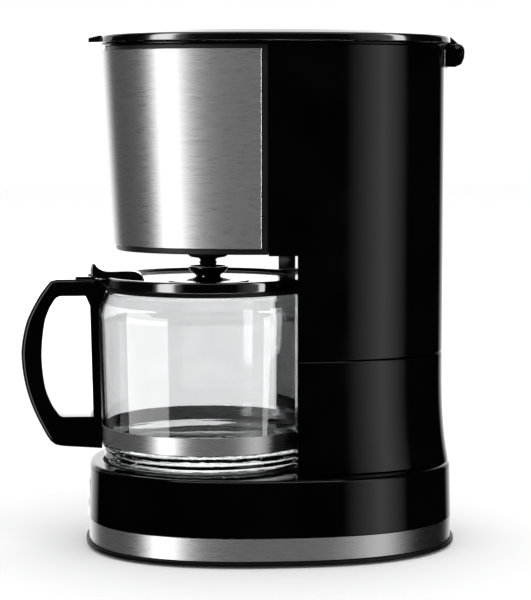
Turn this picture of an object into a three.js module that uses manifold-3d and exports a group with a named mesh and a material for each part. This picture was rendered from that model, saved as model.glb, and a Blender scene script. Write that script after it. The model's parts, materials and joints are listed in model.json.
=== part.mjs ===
import * as THREE from 'three';
import { mergeVertices } from 'three/addons/utils/BufferGeometryUtils.js';
import Module from 'manifold-3d';

const wasm = await Module();
wasm.setup();

// Drip coffee maker. Millimetres. X runs from the carafe handle (-) to the lid hinge (+),
// Y across the machine, Z up from the table. X = 0 is the middle of the base while the
// pieces are made; the last group moves the whole machine so that its box is centred.

// ---- Driving dimensions ----

const gap = 0.3;
const wall = 2.5;
const ovalPower = 2.4;

const base = {
  halfLength: 108.5, halfWidth: 81, footHeight: 1.2, plateZ: 1.5, plateRimTop: 3.5, plateTop: 4.8,
  plateHalfLength: 109.8, bandZ: 3.8, bandTop: 17, bandHalfLength: 108, deckHalfLength: 107.8, deckZ: 49.6,
};
const column = {
  centreX: 2.3, halfLength: 100.7, halfWidth: 64, z: 50.2, seamZ: 114.4, flare: 4,
  frontX: 10.2, panelX: -6.2, ceilingZ: 174.6, top: 292.9,
};
const brewer = { shellX: -10.2, shellZ: 178.6, rimZ: 175.3, lean: 6, floorZ: 178.5, sheet: 1 };
const carafe = {
  axisX: -36.6, radius: 63.7, z: 50.3, shoulderRadius: 65.5, shoulderZ: 138, neckRadius: 58, lipZ: 156,
  bandZ: 61.4, bandTop: 71.6, lidRadius: 61.5, lidZ: 153.6, lidTop: 159.4,
};
const recessRadius = 69;
const hinge = { x: 109, z: 291, knuckle: 4.2, pin: 1.7, lugInner: 10.3, lugOuter: 17 };
const handle = { reach: -149.1, topZ: 155.8, bottomZ: 57.3, width: 27 };
const lidPin = { x: -102.3, z: 154, radius: 1.2 };
const valve = { tipZ: 165.3, flangeZ: 170.2, flangeTop: 172.4, springTop: 181, seatZ: 183.5 };
const hotplate = { radius: 60, z: 46.4, top: 49.9, holeRadius: 63 };
const lid = { centreX: 3, halfLength: 103.5, halfWidth: 68, z: 295.3, crown: 304, lipX: -107.5 };
const rocker = { x: -103, z: 32, tilt: 8 };
const ovalSides = 32;
const roundSides = 24;
const gland = { at: [30, 30], flangeX: 104.9, innerX: 98.2, bore: 3.6 };
const level = { x: 62, halfWidth: 4.5, z: 150, top: 262 };
const heater = { channelRadius: 28, elementRadius: 38, z: 41.6 };
const clampScrewY = [-11, 11];
const coldX = 70;
const hotX = 46;

// ---- Solids ----

/** A closed geometry as a manifold solid, welded and with its faces pointing out. */
function solid(geometry) {
  geometry.deleteAttribute('normal');
  geometry.deleteAttribute('uv');
  const place = geometry.getAttribute('position');
  for (let i = 0; i < place.array.length; i += 1) {
    place.array[i] = Math.round(place.array[i] * 1e4) / 1e4;
  }
  const welded = mergeVertices(geometry, 1e-4);
  const points = welded.getAttribute('position').array;
  const index = welded.getIndex().array;
  const corners = [];
  let volume = 0;
  for (let i = 0; i < index.length; i += 3) {
    const [a, b, c] = [index[i], index[i + 1], index[i + 2]];
    if (a === b || b === c || c === a) continue;
    corners.push(a, b, c);
    const [p, q, r] = [a, b, c].map((k) => new THREE.Vector3().fromArray(points, k * 3));
    volume += p.dot(q.cross(r));
  }
  const triVerts = Uint32Array.from(volume < 0 ? corners.reverse() : corners);
  return new wasm.Manifold(new wasm.Mesh({ numProp: 3, vertProperties: points, triVerts }));
}

/** A named mesh with a material of its own. */
function piece(name, shape, [color, roughness, metalness]) {
  const result = shape.getMesh();
  const geometry = new THREE.BufferGeometry();
  geometry.setAttribute('position', new THREE.BufferAttribute(result.vertProperties, result.numProp));
  geometry.setIndex(new THREE.BufferAttribute(result.triVerts, 1));
  geometry.computeVertexNormals();
  const mesh = new THREE.Mesh(geometry, new THREE.MeshStandardMaterial({ color, roughness, metalness }));
  mesh.name = name;
  return mesh;
}

function joined(shapes) {
  return shapes.reduce((sum, shape) => sum.add(shape));
}

function box([x0, x1], [y0, y1], [z0, z1]) {
  const geometry = new THREE.BoxGeometry(x1 - x0, y1 - y0, z1 - z0);
  return solid(geometry.translate((x0 + x1) / 2, (y0 + y1) / 2, (z0 + z1) / 2));
}

/** An upright round bar between two heights. */
function post(radius, [z0, z1], [x, y] = [0, 0], sides = 20) {
  const geometry = new THREE.CylinderGeometry(radius, radius, z1 - z0, sides).rotateX(Math.PI / 2);
  return solid(geometry.translate(x, y, (z0 + z1) / 2));
}

/** A round bar along Y. */
function crossBar(radius, [y0, y1], [x, z], sides = 16) {
  const geometry = new THREE.CylinderGeometry(radius, radius, y1 - y0, sides);
  return solid(geometry.translate(x, (y0 + y1) / 2, z));
}

/** A round bar along X. */
function lengthBar(radius, [x0, x1], [y, z], sides = 16) {
  const geometry = new THREE.CylinderGeometry(radius, radius, x1 - x0, sides).rotateZ(Math.PI / 2);
  return solid(geometry.translate((x0 + x1) / 2, y, z));
}

function spin(profile, sides) {
  const points = profile.map(([radius, z]) => new THREE.Vector2(radius, z));
  return new THREE.LatheGeometry(points, sides).rotateX(Math.PI / 2);
}

/** A profile of [radius, z] turned about an upright axis. */
function turned(profile, [x, y] = [0, 0], sides = roundSides) {
  return solid(spin(profile, sides).translate(x, y, 0));
}

function signedPower(value, power) {
  return Math.sign(value) * Math.abs(value) ** power;
}

/** A profile of [half length, z] swept round a rounded-oval plan; frontScale(z) draws in its front half. */
function oval(profile, { centreX = 0, halfLength, halfWidth }, frontScale = () => 1) {
  const geometry = spin(profile, ovalSides);
  const place = geometry.getAttribute('position');
  for (let i = 0; i < place.count; i += 1) {
    const radius = Math.hypot(place.getX(i), place.getY(i));
    const angle = Math.atan2(place.getY(i), place.getX(i));
    const along = radius * signedPower(Math.cos(angle), 2 / ovalPower);
    const across = radius * signedPower(Math.sin(angle), 2 / ovalPower);
    const scale = along < 0 ? frontScale(place.getZ(i)) : 1;
    place.setXY(i, centreX + along * scale, (across * halfWidth) / halfLength);
  }
  return solid(geometry);
}

/** An oval slug with upright sides. */
function ovalSlug(halfLength, [z0, z1], plan) {
  return oval([[0, z0], [halfLength, z0], [halfLength, z1], [0, z1]], plan);
}

/** An outline in the XZ plane, made thick along Y. */
function slab(shape, [y0, y1], curveSegments = 10) {
  const geometry = new THREE.ExtrudeGeometry(shape, { depth: y1 - y0, bevelEnabled: false, curveSegments });
  return solid(geometry.rotateX(Math.PI / 2).translate(0, y1, 0));
}

function outline(points) {
  return new THREE.Shape(points.map(([x, y]) => new THREE.Vector2(x, y)));
}

function circle(radius) {
  return new THREE.Shape().absarc(0, 0, radius, 0, Math.PI * 2);
}

/** A tube along a curve, with a bore when bore is above zero. */
function tube(curve, radius, bore, steps, curveSegments = 4) {
  const section = circle(radius);
  if (bore > 0) section.holes.push(circle(bore));
  return solid(new THREE.ExtrudeGeometry(section, { steps, extrudePath: curve, curveSegments }));
}

function curveThrough(points) {
  return new THREE.CatmullRomCurve3(points.map((point) => new THREE.Vector3(...point)));
}

// ---- Finishes: colour, roughness, metalness ----

const glossBlack = [0x0c0c0d, 0.12, 0];
const mattBlack = [0x161617, 0.55, 0];
const steel = [0xb4b4b6, 0.3, 1];
const plateBlack = [0x1b1b1c, 0.4, 0.2];
const rubber = [0x1c1c1c, 0.9, 0];
const silicone = [0xd9d6cf, 0.6, 0];
const aluminium = [0xbfc1c4, 0.35, 1];
const clear = [0xdfe6e6, 0.05, 0];
const tankPlastic = [0xcfd3d4, 0.35, 0];
const insulation = [0xe7e2d4, 0.7, 0];

const carafeAxis = [carafe.axisX, 0];

// ---- Base ----

const corners = [[1, 1], [1, -1], [-1, 1], [-1, -1]];
const footAt = corners.map(([x, y]) => [x * 66, y * 50]);
const screwAt = corners.map(([x, y]) => [x * 92, y * 43]);

function bottomPlate() {
  const inner = base.plateHalfLength - 4.3;
  const profile = [
    [0, base.plateZ], [base.plateHalfLength - 0.6, base.plateZ], [base.plateHalfLength, base.plateZ + 0.6],
    [base.plateHalfLength, base.plateRimTop], [inner, base.plateRimTop], [inner, base.plateTop], [0, base.plateTop],
  ];
  const footHoles = footAt.map((at) => post(3.4, [0, 10], at, 12));
  const screwHoles = screwAt.flatMap((at) => [post(2.1, [0, 10], at, 12), post(3.9, [0, 3.6], at, 16)]);
  const slots = [-30, 0, 30].map((x) => box([x - 2.5, x + 2.5], [-20, 20], [0, 10]));
  return oval(profile, base).subtract(joined([...footHoles, ...screwHoles, ...slots]));
}

function foot(at) {
  const top = base.plateTop - 0.6;
  return turned([[0, 0], [8.4, 0], [9, base.footHeight], [3, base.footHeight], [3, top], [0, top]], at, 16);
}

function bottomScrew(at) {
  const head = 3.3;
  return turned([[0, 1.8], [3.2, 1.8], [3.5, 2.3], [3.5, head], [1.6, head], [1.6, 15], [0, 16]], at, 10);
}

function baseBand() {
  const outer = base.bandHalfLength;
  const inner = outer - brewer.sheet;
  return oval([[inner, base.bandZ], [outer, base.bandZ], [outer, base.bandTop], [inner, base.bandTop],
    [inner, base.bandZ]], base);
}

function baseHousing() {
  const skirt = base.bandHalfLength - brewer.sheet - 0.7;
  const low = base.plateTop + gap;
  const ledge = base.bandTop + gap;
  const edge = [
    [skirt, low], [skirt, ledge], [base.halfLength, ledge], [base.deckHalfLength + 0.2, base.deckZ - 3.2],
    [base.deckHalfLength - 0.8, base.deckZ - 0.9], [base.deckHalfLength - 3.4, base.deckZ], [0, base.deckZ],
  ];
  const envelope = oval([[0, low], ...edge], base);
  const hollow = oval([[0, 0], [skirt - wall, 0], [skirt - wall, ledge], [base.deckHalfLength - wall, 43],
    [base.deckHalfLength - wall - 3, base.deckZ - 3], [0, base.deckZ - 3]], base);
  const bosses = joined(screwAt.map((at) => post(5, [low, 30], at, 16))).intersect(envelope);
  const bores = joined(screwAt.map((at) => post(1.9, [0, 18], at, 12)));
  const plateHole = post(hotplate.holeRadius, [40, 60], carafeAxis, roundSides);
  const columnHole = box([38, 88], [-36, 36], [40, 60]);
  const switchHole = box([-120, -92], [-14.9, 14.9], [rocker.z - 8.4, rocker.z + 8.4]);
  const glandHole = joined([
    lengthBar(6.3, [90, 120], gland.at),
    lengthBar(9, [gland.flangeX - gap, 120], gland.at, 20),
    lengthBar(8, [90, gland.innerX + gap], gland.at, 20),
  ]);
  return envelope.subtract(hollow).add(bosses)
    .subtract(joined([bores, plateHole, columnHole, switchHole, glandHole]));
}

function cordGland() {
  const outside = lengthBar(8.5, [gland.flangeX, gland.flangeX + 2], gland.at, 20);
  const sleeve = lengthBar(6, [gland.innerX - 1, gland.flangeX + 1], gland.at, 20);
  const inside = lengthBar(7.6, [gland.innerX - 2.4, gland.innerX], gland.at, 20);
  return joined([outside, sleeve, inside]).subtract(lengthBar(gland.bore, [80, 120], gland.at, 16));
}

function switchBezel() {
  const reach = [-107.4, -96];
  const frame = box(reach, [-14.5, 14.5], [rocker.z - 8, rocker.z + 8]);
  return frame.subtract(box([-120, -98.4], [-12, 12], [rocker.z - 5.5, rocker.z + 5.5]))
    .subtract(box([-120, -90], [-4, 4], [rocker.z - 3, rocker.z + 3]));
}

function switchRocker() {
  const paddle = outline([[-2.6, -11.2], [-1.6, 0], [-2.6, 11.2], [2, 11.2], [3.4, 0], [2, -11.2]]);
  const geometry = new THREE.ExtrudeGeometry(paddle, { depth: 10.4, bevelEnabled: false });
  geometry.rotateZ(THREE.MathUtils.degToRad(rocker.tilt));
  return solid(geometry.translate(rocker.x, 0, rocker.z - 5.2));
}

function terminalBlock() {
  const block = box([74, 90], [-16, 16], [8, 20]);
  return block.subtract(joined([-10, 0, 10].map((y) => post(2.4, [12, 30], [82, y], 10))));
}

// ---- Heater ----

function warmingPlate() {
  const { radius, z, top } = hotplate;
  return turned([[0, z], [radius - 0.6, z], [radius, z + 0.6], [radius, top - 1], [radius - 1, top], [0, top]],
    carafeAxis);
}

function plateGasket() {
  const [inner, outer] = [hotplate.radius + 0.4, hotplate.holeRadius - 0.4];
  return turned([[inner, 46.6], [outer, 46.6], [outer, 49.4], [inner, 49.4], [inner, 46.6]], carafeAxis);
}

/** A horseshoe in plan: two straight legs joined by a half circle round the carafe axis. */
function horseshoe(radius, legX, z) {
  const path = new THREE.CurvePath();
  const start = new THREE.Vector3(legX, -radius, z);
  const arc = Array.from({ length: 9 }, (_, i) => {
    const angle = -Math.PI / 2 - (i * Math.PI) / 8;
    return new THREE.Vector3(carafe.axisX + radius * Math.cos(angle), radius * Math.sin(angle), z);
  });
  path.add(new THREE.LineCurve3(start, arc[0]));
  path.add(new THREE.CatmullRomCurve3(arc));
  path.add(new THREE.LineCurve3(arc[8], new THREE.Vector3(legX, radius, z)));
  return path;
}

function waterChannel() {
  return tube(horseshoe(heater.channelRadius, 38, heater.z), 4.5, 3, 14);
}

function heatingElement() {
  return tube(horseshoe(heater.elementRadius, 30, heater.z), 3.6, 0, 14);
}

function heaterClamp() {
  const strap = box([carafe.axisX - 9, carafe.axisX + 9], [-44, 44], [34.6, 36.2]);
  const holes = clampScrewY.map((y) => post(2, [30, 40], [carafe.axisX, y], 12));
  return strap.subtract(joined(holes));
}

function clampScrew(y) {
  return turned([[0, 31.6], [3, 31.6], [3, 34], [1.6, 34], [1.6, 46], [0, 46]], [carafe.axisX, y], 14);
}

function thermostat() {
  const x = carafe.axisX + 22;
  return post(7.5, [26, 34.2], [x, 0], 20).add(box([x - 10, x + 10], [-3, 3], [28, 30]));
}

function thermalFuse() {
  return lengthBar(2.4, [-12, 14], [20, 33]);
}

// ---- Column: lower housing, tank housing, tank ----

/** What is cut away for the carafe: a round bay plus everything in front of the side walls. */
function bay(radius, frontX, top) {
  return post(radius, [0, top], carafeAxis, roundSides).add(box([-200, frontX], [-100, 100], [0, top]));
}

function lowerHousing() {
  const flareAt = (share) => column.halfLength + column.flare * (1 - share) ** 3;
  const heights = [0, 0.2, 0.5, 1];
  const side = (inset) => heights.map((share) => (
    [flareAt(share) - inset, THREE.MathUtils.lerp(column.z, column.seamZ, share)]));
  const outer = oval([[0, column.z], ...side(0), [0, column.seamZ]], column);
  const inner = oval([[0, 0], [flareAt(0) - wall, 0], ...side(wall), [column.halfLength - wall, 130], [0, 130]],
    column);
  const shell = outer.subtract(bay(recessRadius, column.frontX, 200));
  return shell.subtract(inner.subtract(bay(recessRadius + wall, column.frontX + wall, 200)));
}

function tankHousing() {
  const bottom = column.seamZ + gap;
  const outer = ovalSlug(column.halfLength, [bottom, column.top], column)
    .intersect(box([column.panelX, 200], [-100, 100], [0, 400]))
    .subtract(bay(recessRadius, column.frontX, column.ceilingZ));
  const inner = ovalSlug(column.halfLength - wall, [bottom - 10, column.top + 10], column)
    .subtract(bay(recessRadius + wall, column.frontX + wall, column.ceilingZ + wall));
  return outer.subtract(inner).subtract(levelSlot(0));
}

/** The upright slot for the level window in the wall on the +Y side, shrunk all round by inset. */
function levelSlot(inset) {
  const half = level.halfWidth - inset;
  const bar = box([level.x - half, level.x + half], [30, 90], [level.z + half, level.top - half]);
  const ends = [level.z + half + inset, level.top - half - inset].map((z) => crossBar(half, [30, 90], [level.x, z]));
  return joined([bar, ...ends]);
}

function levelWindow() {
  const outside = ovalSlug(column.halfLength + 0.8, [120, 290], column);
  const inside = ovalSlug(column.halfLength - wall, [110, 300], column);
  return outside.subtract(inside).intersect(levelSlot(gap));
}

function waterTank() {
  const inset = wall + 0.7;
  const thickness = 2;
  const floor = 122;
  const outer = ovalSlug(column.halfLength - inset, [floor - thickness, column.top - 0.5], column)
    .subtract(bay(recessRadius + inset, column.frontX + inset, 400));
  const inner = ovalSlug(column.halfLength - inset - thickness, [floor, 400], column)
    .subtract(bay(recessRadius + inset + thickness, column.frontX + inset + thickness, 400));
  const nipple = post(2.8, [109, floor - 1], [coldX, 0], 14);
  const drain = post(1.6, [100, 130], [coldX, 0], 12);
  const riserHole = post(5, [100, 130], [hotX, 0], 16);
  const armNotch = box([20, 50], [-6.5, 6.5], [286.6, 300]);
  return outer.subtract(inner).add(nipple).subtract(joined([drain, riserHole, armNotch]));
}

function topRim() {
  const [z, top] = [column.top + gap, column.top + 2.1];
  const [inner, outer] = [column.halfLength - 6, column.halfLength + 1];
  const ring = oval([[inner, z], [outer, z], [outer + 0.4, (z + top) / 2], [outer, top], [inner, top], [inner, z]],
    column);
  const lugs = [-1, 1].map((side) => {
    const reach = [side * hinge.lugInner, side * hinge.lugOuter].sort((a, b) => a - b);
    const web = slab(outline([[96, z], [103.4, z], [103.4, 281.6], [107.5, 281.6], [111.4, 283.4], [112.9, 287],
      [hinge.x + hinge.knuckle, hinge.z], [hinge.x, hinge.z + 3], [104.6, top], [96, top]]), reach);
    return web.add(crossBar(hinge.knuckle, reach, [hinge.x, hinge.z], 20));
  });
  const bore = crossBar(hinge.pin + gap, [-60, 60], [hinge.x, hinge.z]);
  return joined([ring, ...lugs]).subtract(bore);
}

// ---- Brewer: filter housing, steel shell, basket, valve ----

const leanScale = (z) => 1 - (brewer.lean / column.halfLength) * ((column.top - z) / (column.top - brewer.shellZ));

/** The front of the oval plan, drawn in towards its foot, at an inset and cut off at rearX. */
function frontBlock(inset, rearX, [z0, z1]) {
  const edge = column.halfLength - inset;
  return oval([[0, z0], [edge, z0], [edge, z1], [0, z1]], column, leanScale)
    .intersect(box([-200, rearX], [-100, 100], [0, 400]));
}

function filterHousing() {
  const { top } = column;
  const skin = brewer.sheet + 0.5;
  const rearRadius = recessRadius - 3;
  const rearZ = column.ceilingZ + wall + gap;
  const rear = (radius, inset, heights, frontX) => post(radius, heights, carafeAxis, roundSides)
    .intersect(ovalSlug(column.halfLength - inset, [0, 400], column))
    .intersect(box([frontX, 100], [-100, 100], [0, 400]));
  const outer = frontBlock(skin, column.panelX - gap, [brewer.rimZ, top])
    .add(rear(rearRadius, wall + 0.9, [rearZ, top], column.panelX - 2.5));
  const inner = frontBlock(skin + wall, column.panelX - gap - wall, [brewer.floorZ, 400])
    .add(rear(rearRadius - wall, 2 * wall + 0.9, [brewer.floorZ, 400], column.panelX - 6.5));
  const outlet = post(16.5, [100, 200], carafeAxis, 28);
  const armNotch = box([0, 50], [-6.5, 6.5], [286.6, 300]);
  return outer.subtract(inner).subtract(outlet.add(armNotch));
}

function steelShell() {
  const heights = [brewer.shellZ, column.top - gap];
  return frontBlock(0, brewer.shellX, heights).subtract(frontBlock(brewer.sheet, 0, [100, 400]));
}

function filterBasket() {
  const seat = valve.seatZ;
  const rim = 286.3;
  return turned([
    [13, 176.2], [15.2, 176.2], [15.2, brewer.floorZ + 0.4], [22, brewer.floorZ + 0.4], [24, 184],
    [52, rim - 2.5], [56, rim - 2.5], [56, rim], [50, rim], [22, 186], [12, seat], [3.6, seat],
    [3.6, valve.springTop + 0.2], [13, valve.springTop + 0.2], [13, 176.2],
  ], carafeAxis);
}

function dripValve() {
  return turned([
    [0, valve.tipZ], [4.8, valve.tipZ], [5.7, valve.flangeZ], [12, valve.flangeZ], [12, valve.flangeTop],
    [2.9, valve.flangeTop], [2.9, 187], [0, 187],
  ], carafeAxis, 28);
}

function valveSeal() {
  const [z, top] = [valve.seatZ + gap, valve.seatZ + 2.2];
  return turned([[3.2, z], [8, z], [8, top - 0.6], [7.4, top], [3.2, top], [3.2, z]], carafeAxis, 24);
}

class Helix extends THREE.Curve {
  constructor(radius, z0, z1, turns) {
    super();
    Object.assign(this, { radius, z0, z1, turns });
  }

  getPoint(share, target = new THREE.Vector3()) {
    const angle = share * this.turns * Math.PI * 2;
    const [x, y] = [this.radius * Math.cos(angle), this.radius * Math.sin(angle)];
    return target.set(carafe.axisX + x, y, THREE.MathUtils.lerp(this.z0, this.z1, share));
  }
}

function valveSpring() {
  const wire = 0.55;
  const path = new Helix(7.5, valve.flangeTop + gap + wire, valve.springTop - wire, 3.5);
  return solid(new THREE.ExtrudeGeometry(circle(wire), { steps: 32, extrudePath: path, curveSegments: 3 }));
}

// ---- Water path ----

function coldHose() {
  const path = curveThrough([[coldX, 0, 118.6], [coldX, 0, 104], [coldX, -1, 84], [68, -12, 62], [63, -25, 46],
    [57, -heater.channelRadius, heater.z + 0.5], [52, -heater.channelRadius, heater.z]]);
  return tube(path, 5, 3.3, 14);
}

function checkValve() {
  const body = lengthBar(6, [39, 51.5], [-heater.channelRadius, heater.z], 16);
  return body.subtract(lengthBar(2.2, [30, 60], [-heater.channelRadius, heater.z], 12));
}

function hotHose() {
  const y = heater.channelRadius;
  const path = curveThrough([[38.6, y, heater.z], [44, y, heater.z + 0.4], [52, y - 4, 48], [52, 12, 66],
    [47, 2, 84], [hotX, 0, 96], [hotX, 0, 104.5]]);
  return tube(path, 5, 3.3, 14);
}

function riserTube() {
  return turned([[3.2, 105], [4.6, 105], [4.6, 286], [3.2, 286], [3.2, 105]], [hotX, 0], 16);
}

function sprayHead() {
  const [z, top] = [287.2, 292];
  const arm = box([carafe.axisX, hotX], [-5, 5], [z, top]);
  const elbow = post(6.6, [286.3, top], [hotX, 0], 20);
  const rose = turned([[0, 281], [17, 281], [20, 284], [20, top], [0, top]], carafeAxis, 32);
  const duct = box([carafe.axisX, hotX], [-3, 3], [z + 1.4, top - 1.4]);
  const inlet = post(3, [280, top - 1.4], [hotX, 0], 12);
  const chamber = post(15, [z - 3, top - 1.4], carafeAxis, 24);
  const holes = Array.from({ length: 6 }, (_, i) => {
    const angle = (i * Math.PI) / 3;
    return post(1.4, [270, z], [carafe.axisX + 10 * Math.cos(angle), 10 * Math.sin(angle)], 8);
  });
  return joined([arm, elbow, rose]).subtract(joined([duct, inlet, chamber, ...holes]));
}

function hoseClamp(at, z) {
  return turned([[5.3, z], [6.6, z], [6.6, z + 5], [5.3, z + 5], [5.3, z]], at, 20);
}

// ---- Main lid ----

function mainLid() {
  const edge = lid.halfLength;
  const shell = oval([
    [0, lid.crown], [edge * 0.6, lid.crown - 0.9], [edge * 0.9, lid.crown - 2.8], [edge, lid.crown - 5.6],
    [edge, lid.z], [edge - 2.4, lid.z], [edge - 3.4, lid.crown - 6], [edge * 0.6, lid.crown - 3.5],
    [0, lid.crown - 2.7],
  ], lid);
  const lip = slab(outline([[lid.lipX, lid.z + 2.6], [-96, lid.z + 4.2], [-96, lid.z], [-101, lid.z]]), [-16, 16]);
  const reach = [-hinge.lugInner + 0.6, hinge.lugInner - 0.6];
  const arm = slab(outline([[99, lid.z + 0.4], [99, lid.z + 4.6], [106, lid.z + 4.6], [hinge.x + 3.6, hinge.z + 3],
    [hinge.x + 1, hinge.z], [105.4, hinge.z + 0.5], [105.2, lid.z + 0.4]]), reach);
  const knuckle = crossBar(hinge.knuckle, reach, [hinge.x, hinge.z], 20);
  const bore = crossBar(hinge.pin + gap, [-60, 60], [hinge.x, hinge.z]);
  return joined([shell, lip, arm, knuckle]).subtract(bore);
}

function hingePin() {
  return crossBar(hinge.pin, [-hinge.lugOuter, hinge.lugOuter], [hinge.x, hinge.z]);
}

// ---- Carafe ----

function carafeGlass() {
  const { radius, shoulderRadius, z } = carafe;
  const outside = [
    [0, z], [59, z], [radius - 1.1, z + 2.4], [radius - 2.1, z + 5], [radius, z + 11], [radius, 72],
    [shoulderRadius, carafe.shoulderZ], [shoulderRadius - 1, 143], [60.6, 149], [carafe.neckRadius, 152.4],
    [carafe.neckRadius, carafe.lipZ],
  ];
  const thick = 2.2;
  const inside = [
    [carafe.neckRadius - thick, carafe.lipZ], [carafe.neckRadius - thick, 151.8],
    [shoulderRadius - 1 - thick, 142], [shoulderRadius - thick, 137], [radius - thick, 72],
    [radius - thick - 1, 62], [50, 56], [0, 56],
  ];
  return turned([...outside, ...inside], carafeAxis);
}

function carafeBand() {
  const [inner, outer] = [carafe.radius + 0.25, carafe.radius + 0.75];
  return turned([[inner, carafe.bandZ], [outer, carafe.bandZ], [outer, carafe.bandTop], [inner, carafe.bandTop],
    [inner, carafe.bandZ]], carafeAxis);
}

function carafeCollar() {
  const [inner, outer] = [carafe.neckRadius + 1.6, carafe.lidRadius - 0.4];
  return turned([[inner, 151.4], [outer, 150.6], [outer, carafe.lidZ - gap], [inner - 1.2, carafe.lidZ - gap],
    [inner, 151.4]], carafeAxis);
}

/** The D-shaped grip in the XZ plane, with its finger opening as a hole. */
function gripOutline() {
  const { reach, topZ, bottomZ } = handle;
  const shape = new THREE.Shape();
  shape.moveTo(-96, topZ - 1);
  shape.lineTo(-104, topZ);
  shape.lineTo(-131, topZ);
  shape.splineThru([[-139.4, 144.6], [-145.4, 132.6], [reach, 109.8], [-147, 93.6], [-142.2, 78.6], [-135, 64]]
    .map(([x, z]) => new THREE.Vector2(x, z)));
  shape.quadraticCurveTo(-131.5, bottomZ, -125, bottomZ);
  shape.lineTo(-98, bottomZ);
  shape.lineTo(-98, 140);
  shape.lineTo(-96, 150);
  const opening = new THREE.Path();
  opening.moveTo(-106.5, 140.5);
  opening.lineTo(-109.5, 146.4);
  opening.lineTo(-127, 146.4);
  opening.splineThru([[-131.4, 141.6], [-135.6, 129.6], [-137.5, 111.6], [-135.6, 93.6], [-131.4, 81.6],
    [-125.4, 74.8]].map(([x, z]) => new THREE.Vector2(x, z)));
  opening.lineTo(-105, 74.8);
  shape.holes.push(opening);
  return shape;
}

function carafeHandle() {
  const half = handle.width / 2;
  const grip = slab(gripOutline(), [-half, half], 4);
  const ears = crossBar(4.2, [-half, half], [lidPin.x, lidPin.z]);
  const clearance = turned([
    [0, 40], [carafe.radius + 0.8, 40], [carafe.radius + 1.2, 74], [carafe.shoulderRadius + 0.6, 139],
    [carafe.shoulderRadius - 0.4, 143.6], [62.4, 148], [carafe.lidRadius + 0.4, 150], [carafe.lidRadius + 0.4, 170],
    [0, 170],
  ], carafeAxis);
  const tongueSlot = box([-107.5, -90], [-8.6, 8.6], [148.6, 170]);
  const pinBore = crossBar(lidPin.radius + 0.25, [-40, 40], [lidPin.x, lidPin.z], 12);
  const screwBore = lengthBar(2.1, [-130, -90], [0, 66], 12);
  const screwHead = lengthBar(4, [-140, -108.5], [0, 66], 16);
  return grip.add(ears).subtract(joined([clearance, tongueSlot, pinBore, screwBore, screwHead]));
}

function handleScrew() {
  return lengthBar(3.6, [-111.5, -108.9], [0, 66], 16).add(lengthBar(1.7, [-110, -101.4], [0, 66], 12));
}

function carafeLid() {
  const rim = carafe.lidRadius;
  const floor = 153.2;
  const seat = carafe.lipZ + 0.6;
  const disc = turned([
    [rim, carafe.lidZ], [rim, carafe.lidTop - 1], [rim - 1, carafe.lidTop], [rim - 3.4, carafe.lidTop],
    [rim - 5.5, 157.3], [25, 155.6], [24, 156.6], [16, 156.6], [6.6, 158.6], [12, 164.7], [10.8, 164.7],
    [5.2, 159.6], [3, 158.6], [3, floor], [55.2, floor], [55.2, seat], [59.3, seat], [59.3, carafe.lidZ],
    [rim, carafe.lidZ],
  ], carafeAxis);
  const lever = slab(outline([[-106, 158.8], [-105.6, 166.4], [-104.4, 167], [-103, 166.2], [-99.5, 162.9],
    [-97, 162.3], [-80, 162.3], [-76, 160.4], [-74.4, 157], [-76, 155.9], [-91, 156.2], [-91.5, 157.4],
    [-97, 157.8]]), [-8, 8]);
  const hood = slab(outline([[2, 156.8], [26, 156.8], [26, 161.2], [21, 161.6], [4, 158.4]]), [-14, 14])
    .intersect(post(rim - 0.3, [150, 170], carafeAxis, roundSides));
  const tongue = box([lidPin.x, -95.5], [-8, 8], [carafe.lidZ + 0.2, 157.8]);
  const knuckle = crossBar(3.6, [-8, 8], [lidPin.x, lidPin.z]);
  const pinBore = crossBar(lidPin.radius + 0.25, [-40, 40], [lidPin.x, lidPin.z], 12);
  return joined([disc, lever, hood, tongue, knuckle]).subtract(pinBore);
}

function carafeLidPin() {
  const half = handle.width / 2;
  return crossBar(lidPin.radius, [-half, half], [lidPin.x, lidPin.z], 12);
}

// ---- Assembly ----

const machine = new THREE.Group();

machine.add(piece('bottom_plate', bottomPlate(), mattBlack));
footAt.forEach((at, i) => machine.add(piece(`foot_${i + 1}`, foot(at), rubber)));
screwAt.forEach((at, i) => machine.add(piece(`bottom_screw_${i + 1}`, bottomScrew(at), steel)));
machine.add(piece('base_band', baseBand(), steel));
machine.add(piece('base_housing', baseHousing(), glossBlack));
machine.add(piece('cord_gland', cordGland(), rubber));
machine.add(piece('switch_bezel', switchBezel(), mattBlack));
machine.add(piece('switch_rocker', switchRocker(), glossBlack));
machine.add(piece('terminal_block', terminalBlock(), insulation));

machine.add(piece('warming_plate', warmingPlate(), plateBlack));
machine.add(piece('plate_gasket', plateGasket(), rubber));
machine.add(piece('water_channel', waterChannel(), aluminium));
machine.add(piece('heating_element', heatingElement(), steel));
machine.add(piece('heater_clamp', heaterClamp(), steel));
clampScrewY.forEach((y, i) => machine.add(piece(`clamp_screw_${i + 1}`, clampScrew(y), steel)));
machine.add(piece('thermostat', thermostat(), insulation));
machine.add(piece('thermal_fuse', thermalFuse(), insulation));

machine.add(piece('lower_housing', lowerHousing(), glossBlack));
machine.add(piece('tank_housing', tankHousing(), glossBlack));
machine.add(piece('level_window', levelWindow(), clear));
machine.add(piece('water_tank', waterTank(), tankPlastic));
machine.add(piece('top_rim', topRim(), glossBlack));

machine.add(piece('filter_housing', filterHousing(), mattBlack));
machine.add(piece('steel_shell', steelShell(), steel));
machine.add(piece('filter_basket', filterBasket(), mattBlack));
machine.add(piece('drip_valve', dripValve(), mattBlack));
machine.add(piece('valve_seal', valveSeal(), silicone));
machine.add(piece('valve_spring', valveSpring(), steel));

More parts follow.
